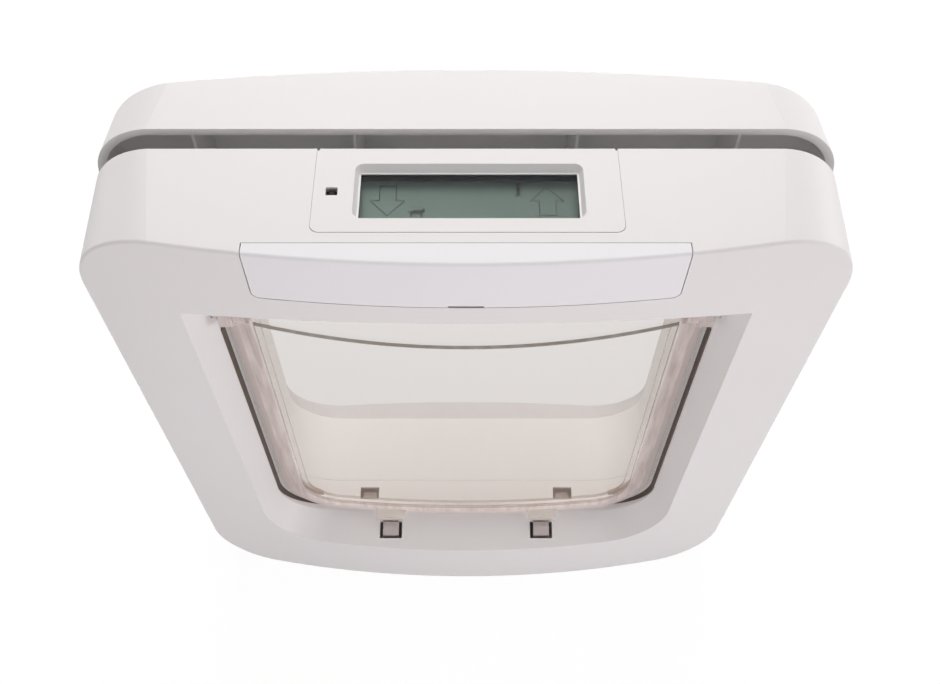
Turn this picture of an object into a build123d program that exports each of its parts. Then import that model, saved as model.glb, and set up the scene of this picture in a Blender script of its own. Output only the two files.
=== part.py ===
"""Pet door that reads a chip: two bulged frames, a telescoping tunnel, a clear flap and its latches.

Millimetres. +Z is up, +X is right as seen from indoors, +Y points outdoors. The origin is the middle of
the footprint, so the frames stand on z = 0. Depths are counted outdoors from the middle of the front face.
"""

import math
import os

from build123d import *

# Driving dimensions of the two frames
WIDTH = 262.0
HEIGHT = 281.0
DEPTH = 86.6
INNER_DEPTH = 47.8
PANEL_GAP = 9.2
FRONT_HALF_WIDTH = 132.4
FACE_RADIUS = 580.0
FACE_LEAN = 1.3
FRONT_CORNERS = (31.0, 34.5)
RIM_CORNERS = (25.0, 25.0)
OUTER_RIM_HALF_WIDTH = 132.0
OUTER_HALF_WIDTH = 131.0
OUTER_FACE_RADIUS = 870.0
OUTER_RIM_CORNER = 23.8
OUTER_CORNER = 28.7
WALL = 2.5
OUTER_WALL = 3.0
EDGE_ROUND = 1.1
TRIM = 0.05

# Passage: a funnel in the front face, a collar for the pivots, then a straight tunnel
FUNNEL_FRONT_HALF = 103.5
FUNNEL_FRONT_LOW = 39.0
FUNNEL_FRONT_HIGH = 247.2
FUNNEL_FRONT_CORNER = 29.0
FUNNEL_DEPTH = 20.0
COLLAR_HALF = 93.0
COLLAR_CORNER = 27.0
COLLAR_END = 24.0
SILL = 43.0
CEILING = 233.0
TUNNEL_HALF = 92.5
TUNNEL_CORNER = 26.5
JOGGLE_DEPTH = 37.0
TUNNEL_WALL = 1.8
SLIDE_GAP = 0.3
OUTER_TUNNEL_END = 74.0
OUTER_MOUTH_GROWTH = 4.5

# Flap and its pivots
AXIS_DEPTH = 19.86
AXIS_Z = 224.0
FLAP_RADIUS = 650.0
FLAP_HALF = 90.5
FLAP_LOW = 45.0
FLAP_HIGH = 226.2
FLAP_CORNER = 25.0
FLAP_WALL = 2.0
FLAP_BORDER_DEPTH = 17.5
FLAP_RIM = 1.8
FLAP_RIM_DEPTH = 3.8
WINDOW_DEPTH = 16.0
WINDOW_HALF = 80.5
WINDOW_LOW = 55.0
WINDOW_TOP_END = 214.0
WINDOW_TOP_MIDDLE = 205.0
WINDOW_CORNER = 17.0
PIVOT_BOSS = 5.3
PIVOT_BOSS_LENGTH = 5.0
PIVOT_NECK = 4.0
PIVOT_NECK_END = 80.0
PIN_RADIUS = 1.5
PIN_IN_FLAP = 7.0
PIN_GAP = 0.3
PIVOT_SOCKET = 3.8
PIVOT_SOCKET_LENGTH = 5.0
BRUSH_HALF = 91.9
BRUSH_WIDTH = 8.0
BRUSH_THICK = 1.4
BRUSH_ENDS = (50.0, 212.0)
BRUSH_FOOT = 73.0
TONGUE_HALVES = (5.9, 7.3)
TONGUE_Z = (43.7, 47.6)
TONGUE_DEPTHS = (14.4, 19.4)

# Latches in the sill
INNER_LATCH_X = 38.5
INNER_SLOT = (11.3, 6.0, 15.0)
INNER_TAB = (8.0, 7.6, 13.8)
INNER_TAB_TOP = 43.1
OUTER_LATCH_X = 50.3
OUTER_SLOT = (9.7, 26.6, 33.3)
OUTER_TAB = (7.6, 27.8, 32.2)
OUTER_TAB_TOP = 38.8
INNER_NOSE = (3.6, 2.0)
OUTER_NOSE = (1.2, 1.2)
TAB_EDGE = 0.6
LOCK_BAR_LOW = 20.0
LOCK_BAR_HIGH = 25.0
SOLENOID = (22.0, 12.0, 15.0)
SOLENOID_TOP = 18.0
PLUNGER_RADIUS = 2.5

# Display, light sensor and the panel that carries them
PANEL_X = (-50.0, 51.0)
PANEL_SIDE_GAP = 0.1
PANEL_FRONT_GAP = 0.3
PANEL_FRONT = 12.0
PANEL_THICK = 2.3
PANEL_CORNER = 3.0
POCKET_X = (-36.8, 38.9)
POCKET_DEPTHS = (17.6, 41.1)
WINDOW_X = (-35.0, 37.1)
WINDOW_DEPTHS = (19.7, 38.7)
POCKET_DEEP = 2.5
PANEL_FLOOR = 3.0
LENS_THICK = 1.0
HOLDER_THICK = 3.0
LCD_THICK = 1.5
SENSOR_X = -44.0
SENSOR_DEPTH = 29.0
SENSOR_HOLE = (3.9, 3.4)

# Battery compartment and its cover
COVER_HALF = 71.0
COVER_REAR = 7.5
COVER_LOW = 257.7
COVER_CORNER = 2.6
COVER_WALL = 2.0
COVER_GAP = 0.35
COVER_AXIS_DROP = 1.8
COVER_BARREL = 2.5
BARREL_GAP = 0.16
FINGER_NOTCH = (12.0, 0.8)
CELL_RADIUS = 7.25
CELL_LENGTH = 50.5
CELL_Z = 263.8
CELL_ROWS = (14.1, 28.9)
TRAY_X = (-64.0, 43.0)
TRAY_FRONT = 6.4
TRAY_WALL = 1.2
BUTTON_X = (52.0, 62.5)
BUTTON_Z = (271.8, 261.6)
BUTTON_RADIUS = 3.2
BUTTON_TRAVEL = 1.2
BUTTON_PLATE = (9.0, 10.5)

# Fasteners
FIX_X = 112.0
FIX_Z = (56.0, 219.0)
FIX_RADIUS = 2.0
FIX_BOSS = 5.0
COVER_SCREW_X = 113.5
COVER_SCREW_Z = (24.0, 137.0, 251.0)

# Outer frame's ribs
RIB_X = (38.8, 94.9)
RIB_Z = (98.0, 178.0)
RIB_HALF = 0.5

# Small clearance between neighbours that are fixed to each other
FIT = 0.2

FRONT = (FACE_LEAN - DEPTH) / 2


def at(depth):
    """Y of a place that lies this far behind the middle of the front face's foot."""
    return FRONT + depth


def upright(depth):
    """Plane across the passage, its first axis along X and its second along Z."""
    return Plane(origin=(0, at(depth), 0), x_dir=(1, 0, 0), z_dir=(0, -1, 0))


def block(x0, x1, depth0, depth1, z0, z1):
    """Box between two corners, its Y given as depths."""
    middle = Pos((x0 + x1) / 2, at((depth0 + depth1) / 2), (z0 + z1) / 2)
    return middle * Box(x1 - x0, depth1 - depth0, z1 - z0)


def outline(half, low, high, low_radius, high_radius=0.0):
    """Upright rectangle with rounded lower corners and, where asked, rounded upper ones."""
    shape = Pos(0, (low + high) / 2) * Rectangle(2 * half, high - low)
    shape = fillet(shape.vertices().group_by(Axis.Y)[0], low_radius)
    if high_radius:
        shape = fillet(shape.vertices().group_by(Axis.Y)[-1], high_radius)
    return shape


def across(sketch, depth0, depth1):
    """Sketch drawn in X and Z, pushed through from one depth to the other."""
    return extrude(upright(depth0) * sketch, amount=depth0 - depth1)


def between(sketch0, depth0, sketch1, depth1):
    """Straight-sided body that blends one upright sketch into another."""
    return loft([upright(depth0) * sketch0, upright(depth1) * sketch1], ruled=True)


def rod(x0, x1, depth, z, radius):
    """Round bar along X."""
    return Pos((x0 + x1) / 2, at(depth), z) * Rot(0, 90, 0) * Cylinder(radius, x1 - x0)


def post(x, z, depth0, depth1, radius):
    """Round bar along Y."""
    middle = Pos(x, at((depth0 + depth1) / 2), z)
    return middle * Rot(90, 0, 0) * Cylinder(radius, depth1 - depth0)


def both_sides(piece):
    """A piece together with its mirror image on the other side."""
    return piece + mirror(piece, about=Plane.YZ)


def bulged_front(depth, radius, lean=0.0):
    """Everything behind a tall cylinder whose foremost line starts at this depth and leans outward."""
    reach = WIDTH
    angle = math.degrees(math.atan(lean / HEIGHT))
    round_bar = Pos(0, at(depth), 0) * Rot(angle, 0, 0) * Pos(0, radius, 0) * Cylinder(radius, 3 * HEIGHT)
    return round_bar & block(-reach, reach, depth - 10, depth + 3 * DEPTH, -HEIGHT, 2 * HEIGHT)


def bulged_rear(depth, radius):
    """Everything in front of an upright cylinder whose rearmost line is at this depth."""
    reach = WIDTH
    round_bar = Pos(0, at(depth) - radius, HEIGHT / 2) * Cylinder(radius, 2 * HEIGHT)
    return round_bar & block(-reach, reach, depth - 3 * DEPTH, depth + 10, -HEIGHT, 2 * HEIGHT)


def bulged_sheet(sketch, depth, thick):
    """Upright sketch as a sheet that bulges like the flap."""
    prism = across(sketch, depth - 1, depth + 30)
    return (prism & bulged_front(depth, FLAP_RADIUS)) - bulged_front(depth + thick, FLAP_RADIUS - thick)


def flat_ended(body, inset):
    """Body with its top and bottom cut to true planes."""
    return body & block(-WIDTH, WIDTH, -DEPTH, 2 * DEPTH, inset, HEIGHT - inset)


def inner_shell_body(inset, rear_depth):
    """Outer form of the indoor frame, drawn in by a wall thickness."""
    def section(depth):
        part = depth / INNER_DEPTH
        half = FRONT_HALF_WIDTH + part * (WIDTH / 2 - FRONT_HALF_WIDTH) - inset
        corners = [front + part * (rim - front) - inset for front, rim in zip(FRONT_CORNERS, RIM_CORNERS)]
        return outline(half, inset - TRIM, HEIGHT - inset + TRIM, *corners)
    start = -2 * FACE_LEAN
    body = flat_ended(between(section(start), start, section(rear_depth), rear_depth), inset)
    return body & bulged_front(inset, FACE_RADIUS - inset, FACE_LEAN)


def outer_shell_body(inset, front_depth, rear_depth):
    """Outer form of the outdoor frame, drawn in by a wall thickness."""
    start = INNER_DEPTH + PANEL_GAP

    def section(depth):
        part = (depth - start) / (DEPTH - start)
        half = OUTER_RIM_HALF_WIDTH + part * (OUTER_HALF_WIDTH - OUTER_RIM_HALF_WIDTH) - inset
        corner = OUTER_RIM_CORNER + part * (OUTER_CORNER - OUTER_RIM_CORNER) - inset
        return outline(half, inset - TRIM, HEIGHT - inset + TRIM, corner, corner)
    body = flat_ended(between(section(front_depth), front_depth, section(DEPTH), DEPTH), inset)
    return body & bulged_rear(rear_depth, OUTER_FACE_RADIUS - inset)


def rounded_face_edges(body, last):
    """Body with the edges round its bulged face softened."""
    face = body.faces().filter_by(GeomType.CYLINDER).sort_by(Axis.Y)[-1 if last else 0]
    return fillet(face.edges(), EDGE_ROUND)


def funnel_section(depth, grow):
    """Outline of the funnel at a depth, grown by a wall thickness."""
    part = depth / FUNNEL_DEPTH
    half = FUNNEL_FRONT_HALF + part * (COLLAR_HALF - FUNNEL_FRONT_HALF)
    low = FUNNEL_FRONT_LOW + part * (SILL - FUNNEL_FRONT_LOW)
    high = FUNNEL_FRONT_HIGH + part * (CEILING - FUNNEL_FRONT_HIGH)
    corner = FUNNEL_FRONT_CORNER + part * (COLLAR_CORNER - FUNNEL_FRONT_CORNER)
    return outline(half + grow, low - grow, high + grow, corner + grow)


def funnel(grow, collar_end):
    """Funnel and collar as one body, from in front of the face to the end of the collar."""
    cone = between(funnel_section(-4.0, grow), -4.0, funnel_section(FUNNEL_DEPTH, grow), FUNNEL_DEPTH)
    return cone + across(funnel_section(FUNNEL_DEPTH, grow), FUNNEL_DEPTH, collar_end)


def tunnel(grow, depth0, depth1):
    """Straight length of the tunnel, grown by a wall thickness."""
    shape = outline(TUNNEL_HALF + grow, SILL - grow, CEILING + grow, TUNNEL_CORNER + grow, 3.0 + grow)
    return across(shape, depth0, depth1)


def cover_region(grow, rear_grow):
    """Space that the battery cover takes up at the top front edge."""
    low = COVER_LOW - grow
    height = HEIGHT + 5 - low
    front_view = Pos(0, low + height / 2) * Rectangle(2 * (COVER_HALF + grow), height)
    front_view = fillet(front_view.vertices().group_by(Axis.Y)[0], COVER_CORNER + grow)
    top_view = Pos(0, at(COVER_REAR + rear_grow) - 10) * Rectangle(2 * (COVER_HALF + grow), 20)
    top_view = fillet(top_view.vertices().group_by(Axis.Y)[-1], COVER_CORNER - 1)
    upright_prism = across(front_view, -10, 20)
    standing_prism = extrude(Pos(0, 0, low - 5) * top_view, amount=height + 10)
    return upright_prism & standing_prism


def cover_barrel(grow):
    """Round bar round the axis that the battery cover turns on."""
    reach = COVER_HALF + (COVER_GAP if grow else 0.0)
    return rod(-reach, reach, COVER_REAR - COVER_AXIS_DROP, HEIGHT - COVER_AXIS_DROP, COVER_BARREL + grow)


def panel_plate(side_grow, front_grow, top, thick):
    """Display panel's outline as a plate whose rear edge is the rim of the frame."""
    length = INNER_DEPTH - PANEL_FRONT + front_grow
    wide = PANEL_X[1] - PANEL_X[0] + 2 * side_grow
    plate = Pos(sum(PANEL_X) / 2, at(INNER_DEPTH) - length / 2) * Rectangle(wide, length)
    plate = fillet(plate.vertices().group_by(Axis.Y)[0], PANEL_CORNER)
    return extrude(Pos(0, 0, top - thick) * plate, amount=thick)


def make_inner_frame():
    body = rounded_face_edges(inner_shell_body(0.0, INNER_DEPTH), last=False)
    hollow = inner_shell_body(WALL, INNER_DEPTH + 1)
    shell = body - hollow
    shell += funnel(WALL, COLLAR_END) & body
    shell += both_sides(rod(COLLAR_HALF + 1, COLLAR_HALF + PIVOT_SOCKET_LENGTH, AXIS_DEPTH, AXIS_Z, PIVOT_SOCKET))
    for z in COVER_SCREW_Z:
        boss = post(COVER_SCREW_X, z, 8.0, INNER_DEPTH - 4.0, 4.0) & body
        shell += both_sides(boss - post(COVER_SCREW_X, z, 30.0, INNER_DEPTH, 1.25))
    ledge = panel_plate(4.0, 4.0, HEIGHT - PANEL_THICK - 0.1, 1.4) & body
    shell += ledge
    shell -= funnel(0.0, COLLAR_END + 1)
    shell -= panel_plate(PANEL_SIDE_GAP, PANEL_FRONT_GAP, HEIGHT + 1, PANEL_THICK + 1.1)
    ledge_width = 2.8
    shell -= block(PANEL_X[0] + ledge_width, PANEL_X[1] - ledge_width, PANEL_FRONT + 2.5, INNER_DEPTH + 1,
                   HEIGHT - 10, HEIGHT)
    shell -= cover_region(COVER_GAP, BARREL_GAP)
    shell -= cover_barrel(BARREL_GAP)
    shell -= both_sides(rod(COVER_HALF - 1, COVER_HALF + 3.2, COVER_REAR - COVER_AXIS_DROP,
                            HEIGHT - COVER_AXIS_DROP, 1.1))
    shell -= both_sides(rod(COLLAR_HALF - 2, COLLAR_HALF + 3.6, AXIS_DEPTH, AXIS_Z, PIN_RADIUS + PIN_GAP))
    width, front, rear = INNER_SLOT
    for side in (-1, 1):
        x = side * INNER_LATCH_X
        shell -= block(x - width / 2, x + width / 2, front, rear, SILL - 10, SILL + 2)
    return shell


def make_display_panel():
    plate = panel_plate(0.0, 0.0, HEIGHT, PANEL_THICK)
    plate += block(POCKET_X[0] - 2.2, POCKET_X[1] + 2.2, POCKET_DEPTHS[0] - 2.2, POCKET_DEPTHS[1] + 2.0,
                   HEIGHT - PANEL_FLOOR, HEIGHT - PANEL_THICK)
    mouth = Pos(sum(POCKET_X) / 2, at(sum(POCKET_DEPTHS) / 2), HEIGHT) * RectangleRounded(
        POCKET_X[1] - POCKET_X[0], POCKET_DEPTHS[1] - POCKET_DEPTHS[0], 3.0)
    floor = Pos(sum(WINDOW_X) / 2, at(sum(WINDOW_DEPTHS) / 2), HEIGHT - POCKET_DEEP) * RectangleRounded(
        WINDOW_X[1] - WINDOW_X[0] + 1.2, WINDOW_DEPTHS[1] - WINDOW_DEPTHS[0] + 1.2, 1.2)
    plate -= loft([floor, mouth], ruled=True)
    plate -= block(*WINDOW_X, *WINDOW_DEPTHS, HEIGHT - PANEL_FLOOR - 1, HEIGHT)
    plate -= block(SENSOR_X - SENSOR_HOLE[0] / 2, SENSOR_X + SENSOR_HOLE[0] / 2,
                   SENSOR_DEPTH - SENSOR_HOLE[1] / 2, SENSOR_DEPTH + SENSOR_HOLE[1] / 2, HEIGHT - 5, HEIGHT + 1)
    for x in PANEL_X:
        plate -= Pos(x, at(INNER_DEPTH), HEIGHT) * Box(1.6, 1.6, 8)
    return plate


def make_lcd_lens():
    top = HEIGHT - PANEL_FLOOR
    return block(WINDOW_X[0] - 3, WINDOW_X[1] + 3, WINDOW_DEPTHS[0] - 2, WINDOW_DEPTHS[1] + 3,
                 top - LENS_THICK, top)


def make_lcd_holder():
    top = HEIGHT - PANEL_FLOOR - LENS_THICK
    ring = block(WINDOW_X[0] - 3, WINDOW_X[1] + 3, WINDOW_DEPTHS[0] - 2, WINDOW_DEPTHS[1] + 3,
                 top - HOLDER_THICK, top)
    return ring - block(WINDOW_X[0] - 0.6, WINDOW_X[1] + 0.6, WINDOW_DEPTHS[0] - 0.6, WINDOW_DEPTHS[1] + 0.6,
                        top - HOLDER_THICK - 1, top + 1)


def make_lcd_module():
    top = HEIGHT - PANEL_FLOOR - LENS_THICK - HOLDER_THICK
    return block(WINDOW_X[0] - 3, WINDOW_X[1] + 3, WINDOW_DEPTHS[0] - 2, WINDOW_DEPTHS[1] + 3,
                 top - LCD_THICK, top)


def make_light_sensor():
    top = HEIGHT - PANEL_THICK
    body = block(SENSOR_X - 3.0, SENSOR_X + 2.7, SENSOR_DEPTH - 3, SENSOR_DEPTH + 3, top - 3, top)
    half = SENSOR_HOLE[0] / 2 - 0.3
    return body + Pos(SENSOR_X, at(SENSOR_DEPTH), top) * Sphere(half - 0.1)


def make_battery_cover():
    body = rounded_face_edges(inner_shell_body(0.0, INNER_DEPTH), last=False)
    skin = body - inner_shell_body(COVER_WALL, INNER_DEPTH + 1)
    cover = skin & cover_region(0.0, 0.0)
    cover += cover_barrel(0.0) & body
    pegs = rod(COVER_HALF - 4, COVER_HALF + 2.8, COVER_REAR - COVER_AXIS_DROP, HEIGHT - COVER_AXIS_DROP, 0.8)
    cover += both_sides(pegs)
    rib = block(-1, 1, 1.0, 4.6, COVER_LOW + 3, HEIGHT - 1) & body
    for x in (-36.0, 36.0):
        cover += Pos(x, 0, 0) * rib
    notch_wide, notch_tall = FINGER_NOTCH
    cover -= block(-notch_wide / 2, notch_wide / 2, -3, 5, COVER_LOW - 1, COVER_LOW + notch_tall)
    return cover


def make_battery_tray():
    inside_low = CELL_Z - CELL_RADIUS - 0.1
    inside_high = CELL_Z + CELL_RADIUS + 0.1
    inside_rear = CELL_ROWS[1] + CELL_RADIUS + 0.1
    tray = block(TRAY_X[0] - TRAY_WALL, TRAY_X[1] + TRAY_WALL, TRAY_FRONT, inside_rear + TRAY_WALL,
                 inside_low - TRAY_WALL, inside_high + TRAY_WALL)
    tray -= block(TRAY_X[0], TRAY_X[1], TRAY_FRONT - 1, inside_rear, inside_low, inside_high)
    wing_low = BUTTON_Z[1] - BUTTON_RADIUS - 2.6
    wing = block(TRAY_X[1] + 1, COVER_HALF - 1.5, *BUTTON_PLATE, wing_low, HEIGHT - 4.5)
    for x in BUTTON_X:
        for z in BUTTON_Z:
            wing -= post(x, z, 5, 15, BUTTON_RADIUS + 0.3)
    return tray + wing


def make_cell(row, half):
    """Dry cell with its raised positive pole; the two in a row lie end to end."""
    depth = CELL_ROWS[row]
    middle = (TRAY_X[0] + TRAY_X[1]) / 2
    x0 = middle - CELL_LENGTH if half == 0 else middle
    forward = (row + half) % 2 == 0
    can_start = x0 if forward else x0 + 1.0
    can = rod(can_start, can_start + CELL_LENGTH - 1.0, depth, CELL_Z, CELL_RADIUS)
    pole_start = x0 + CELL_LENGTH - 1.0 if forward else x0
    return can + rod(pole_start, pole_start + 1.0, depth, CELL_Z, 2.75)


def make_contacts():
    """Sprung and flat contacts at the two ends of each row of cells, one solid for each end."""
    middle = (TRAY_X[0] + TRAY_X[1]) / 2
    solids = []
    for depth in CELL_ROWS:
        for x0, x1 in ((TRAY_X[0], middle - CELL_LENGTH), (middle + CELL_LENGTH, TRAY_X[1])):
            wall_end = x0 if x0 < middle - CELL_LENGTH else x1
            step = 1 if wall_end == x0 else -1
            plate = block(*sorted((wall_end, wall_end + step * 0.4)), depth - 5, depth + 5, CELL_Z - 5, CELL_Z + 5)
            ring_x = [wall_end + step * 0.4, wall_end + step * (x1 - x0)]
            spring = rod(*sorted(ring_x), depth, CELL_Z, 4.0) - rod(*sorted(ring_x), depth, CELL_Z, 3.2)
            solids.append(plate + spring)
    return Compound(children=solids)


def make_button(x, z):
    cap = post(x, z, BUTTON_PLATE[0] - 1.6, BUTTON_PLATE[1] + 2.0, BUTTON_RADIUS)
    rim = cap.faces().sort_by(Axis.Y)[0].edges()
    cap = fillet(rim, 0.5)
    return cap + post(x, z, BUTTON_PLATE[1] + 0.2, BUTTON_PLATE[1] + 1.0, BUTTON_RADIUS + 0.8)


def make_button_board():
    front = BUTTON_PLATE[1] + 2.0 + BUTTON_TRAVEL + 0.2
    return block(BUTTON_X[0] - 5.5, BUTTON_X[1] + 5.5, front, front + 1.6, BUTTON_Z[1] - 5, BUTTON_Z[0] + 4)


def make_main_board():
    low = 246.4
    board = block(-70, 70, 13, 41, low, low + 1.6)
    for x, depth, width, length, tall in ((-40, 27, 14, 14, 1.6), (-8, 24, 10, 8, 1.4), (22, 30, 18, 12, 3.0),
                                          (52, 22, 8, 8, 4.0), (-60, 34, 6, 10, 3.5)):
        board += block(x - width / 2, x + width / 2, depth - length / 2, depth + length / 2,
                       low + 1.5, low + 1.6 + tall)
    return board


def make_reader_coil():
    grow = 2 * TUNNEL_WALL + SLIDE_GAP + 0.8
    return tunnel(grow + 4.0, 38.0, 42.5) - tunnel(grow, 37.0, 44.0)


def make_tunnel_liner():
    step = TUNNEL_WALL + SLIDE_GAP
    liner = tunnel(TUNNEL_WALL, COLLAR_END, JOGGLE_DEPTH + 2)
    liner += tunnel(step + TUNNEL_WALL, JOGGLE_DEPTH - 1.5, INNER_DEPTH)
    liner -= tunnel(0.0, COLLAR_END - 1, INNER_DEPTH + 1)
    liner -= tunnel(step, JOGGLE_DEPTH, INNER_DEPTH + 1)
    width, front, rear = OUTER_SLOT
    for side in (-1, 1):
        x = side * OUTER_LATCH_X
        liner -= block(x - width / 2, x + width / 2, front, rear, SILL - 10, SILL + 2)
    return liner


def make_rear_cover():
    front = INNER_DEPTH - 3.6
    rear = INNER_DEPTH - 1.6
    grow = 2 * TUNNEL_WALL + SLIDE_GAP + FIT
    plate = inner_shell_body(WALL + FIT, INNER_DEPTH + 1)
    plate &= block(-WIDTH, WIDTH, front, rear, -10, HEIGHT - WALL - 2.0)
    plate -= tunnel(grow, front - 1, rear + 1)
    for z in FIX_Z:
        plate += both_sides(post(FIX_X, z, 30.0, front + 1, FIX_BOSS))
        plate -= both_sides(post(FIX_X, z, 29.0, rear + 1, FIX_RADIUS + 0.05))
    for z in COVER_SCREW_Z:
        plate -= both_sides(post(COVER_SCREW_X, z, front - 1, rear + 1, 1.7))
    return plate


def make_cover_screws():
    head = INNER_DEPTH - 1.6
    solids = []
    for z in COVER_SCREW_Z:
        for side in (-1, 1):
            x = side * COVER_SCREW_X
            solids.append(post(x, z, 33.0, head, 1.25) + post(x, z, head, head + 1.4, 2.6))
    return Compound(children=solids)


def make_outer_frame():
    start = INNER_DEPTH + PANEL_GAP
    body = rounded_face_edges(outer_shell_body(0.0, start, DEPTH), last=True)
    hollow = outer_shell_body(OUTER_WALL, start, DEPTH - OUTER_WALL)
    shell = body - hollow
    collar_start = outline(TUNNEL_HALF + FIT + 2.5, SILL - FIT - 2.5, CEILING + FIT + 2.5, 29.0, 5.5)
    grown = OUTER_MOUTH_GROWTH + 2.5
    collar_end = outline(TUNNEL_HALF + grown, SILL - grown, CEILING + grown, 33.5, 10.0)
    shell += between(collar_start, OUTER_TUNNEL_END, collar_end, DEPTH + 1) & body
    rib_start = start + 1.5
    ribs = None
    for x in RIB_X:
        for z0, z1 in ((1.0, SILL - 3.5), (CEILING + 3.5, HEIGHT - 1.0)):
            rib = block(x - RIB_HALF, x + RIB_HALF, rib_start, DEPTH, z0, z1)
            ribs = rib if ribs is None else ribs + rib
    for z in RIB_Z:
        ribs += block(TUNNEL_HALF + 3.5, WIDTH / 2, rib_start, DEPTH, z - RIB_HALF, z + RIB_HALF)
    shell += both_sides(ribs) & (body - tunnel(3.5, start, OUTER_TUNNEL_END + 0.2))
    for z in FIX_Z:
        shell += both_sides(post(FIX_X, z, start + 0.5, DEPTH, FIX_BOSS + 1) & body)
    mouth_start = outline(TUNNEL_HALF, SILL, CEILING, 26.5, 3.0)
    grown = OUTER_MOUTH_GROWTH
    mouth_end = outline(TUNNEL_HALF + grown, SILL - grown, CEILING + grown, 31.0, 7.5)
    shell -= between(mouth_start, OUTER_TUNNEL_END - 1, mouth_end, DEPTH + 1)
    for z in FIX_Z:
        shell -= both_sides(post(FIX_X, z, start, DEPTH, FIX_RADIUS + 0.3))
        shell -= both_sides(post(FIX_X, z, 72.0, DEPTH, 4.6))
    return shell


def make_outer_tunnel():
    flange_end = OUTER_TUNNEL_END
    tube = tunnel(TUNNEL_WALL, JOGGLE_DEPTH + 0.3, flange_end)
    tube += tunnel(TUNNEL_WALL + 1.4, flange_end - 2.0, flange_end)
    return tube - tunnel(0.0, JOGGLE_DEPTH - 1, flange_end + 1)


def make_fixing_screws():
    solids = []
    for z in FIX_Z:
        for side in (-1, 1):
            x = side * FIX_X
            screw = post(x, z, 33.0, 72.0, FIX_RADIUS) + post(x, z, 72.0, 74.6, 4.0)
            screw -= Pos(x, at(74.6), z) * Box(1.2, 2.4, 5.0)
            screw -= Pos(x, at(74.6), z) * Box(5.0, 2.4, 1.2)
            solids.append(screw)
    return Compound(children=solids)


def make_screw_caps():
    solids = []
    for z in FIX_Z:
        for side in (-1, 1):
            cap = post(side * FIX_X, z, 75.0, 78.6, 4.4)
            solids.append(fillet(cap.faces().sort_by(Axis.Y)[-1].edges(), 0.8))
    return Compound(children=solids)


def window_outline(inset):
    """Raised part of the flap: straight sides, round lower corners and a top edge that dips in the middle."""
    half = WINDOW_HALF - inset
    low = WINDOW_LOW + inset
    end = WINDOW_TOP_END - inset
    dip = WINDOW_TOP_MIDDLE - inset
    corner = WINDOW_CORNER - inset
    top = ThreePointArc((-half, end), (0, dip), (half, end))
    rest = FilletPolyline((half, end), (half, low), (-half, low), (-half, end), radius=corner)
    return make_face([top, rest])


def make_flap_panel():
    whole = outline(FLAP_HALF, FLAP_LOW, FLAP_HIGH, FLAP_CORNER, 3.0)
    inner = outline(FLAP_HALF - FLAP_RIM, FLAP_LOW + FLAP_RIM, FLAP_HIGH + 5, FLAP_CORNER - FLAP_RIM)
    flap = bulged_sheet(whole, FLAP_BORDER_DEPTH, FLAP_WALL)
    flap += bulged_sheet(whole - inner, FLAP_BORDER_DEPTH, FLAP_RIM_DEPTH)
    raised = bulged_sheet(window_outline(0.0), WINDOW_DEPTH, FLAP_BORDER_DEPTH - WINDOW_DEPTH + 1.0)
    flap += raised
    flap -= bulged_sheet(window_outline(FLAP_WALL), WINDOW_DEPTH + FLAP_WALL, 8.0)
    boss_end = FLAP_HALF
    flap += both_sides(rod(boss_end - PIVOT_BOSS_LENGTH, boss_end, AXIS_DEPTH, AXIS_Z, PIVOT_BOSS))
    flap += both_sides(rod(PIVOT_NECK_END, boss_end - PIVOT_BOSS_LENGTH, AXIS_DEPTH, AXIS_Z, PIVOT_NECK))
    flap -= both_sides(rod(boss_end - PIN_IN_FLAP, boss_end + 1, AXIS_DEPTH, AXIS_Z, PIN_RADIUS))
    low_half, high_half = TONGUE_HALVES
    low, high = TONGUE_Z
    tongue = make_face(Polyline((-low_half, low), (low_half, low), (high_half, high), (-high_half, high),
                                close=True))
    flap += both_sides(across(Pos(INNER_LATCH_X, 0) * tongue, *TONGUE_DEPTHS))
    return flap


def make_hinge_pin(side):
    x = sorted((side * (FLAP_HALF - PIN_IN_FLAP), side * (COLLAR_HALF + 3.2)))
    return rod(*x, AXIS_DEPTH, AXIS_Z, PIN_RADIUS)


def make_brush_strip(side):
    """Strip of bristles behind the flap's side border, standing out a little past its edge."""
    low, high = BRUSH_ENDS
    past = BRUSH_HALF - FLAP_HALF
    whole = outline(BRUSH_HALF, FLAP_LOW - past, high, FLAP_CORNER + past)
    in_by = past - BRUSH_WIDTH
    inner = outline(FLAP_HALF + in_by, FLAP_LOW - in_by, high, FLAP_CORNER + in_by)
    kept = Pos(side * (BRUSH_FOOT + WIDTH / 2), (low + high) / 2) * Rectangle(WIDTH, high - low)
    return bulged_sheet((whole - inner) & kept, FLAP_BORDER_DEPTH + FLAP_RIM_DEPTH + FIT / 2, BRUSH_THICK)


def make_latch(x, tab, top, nose):
    """Latch tab with a sloped nose, standing on its lock bar."""
    width, front, rear = tab
    nose_deep, nose_tall = nose
    side_view = Polyline((at(front), LOCK_BAR_HIGH), (at(front), top - nose_tall), (at(front + nose_deep), top),
                         (at(rear), top), (at(rear), LOCK_BAR_HIGH), close=True)
    body = extrude(Plane.YZ.offset(x - width / 2) * make_face(side_view), amount=width)
    rim = body.edges().filter_by(Axis.Y).group_by(Axis.Z)[-1]
    return chamfer(rim, TAB_EDGE)


def make_lock_bar(reach, tab, x_latch):
    """Bar that ties a pair of latches together under the sill."""
    _, front, rear = tab
    bar = block(-reach, reach, front, rear, LOCK_BAR_LOW, LOCK_BAR_HIGH)
    for side in (-1, 1):
        foot = side * x_latch
        bar += block(foot - 6, foot + 6, front, rear, LOCK_BAR_LOW - 2, LOCK_BAR_LOW + 1)
    return bar


def solenoid_x(side):
    return side * 17.0


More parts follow.
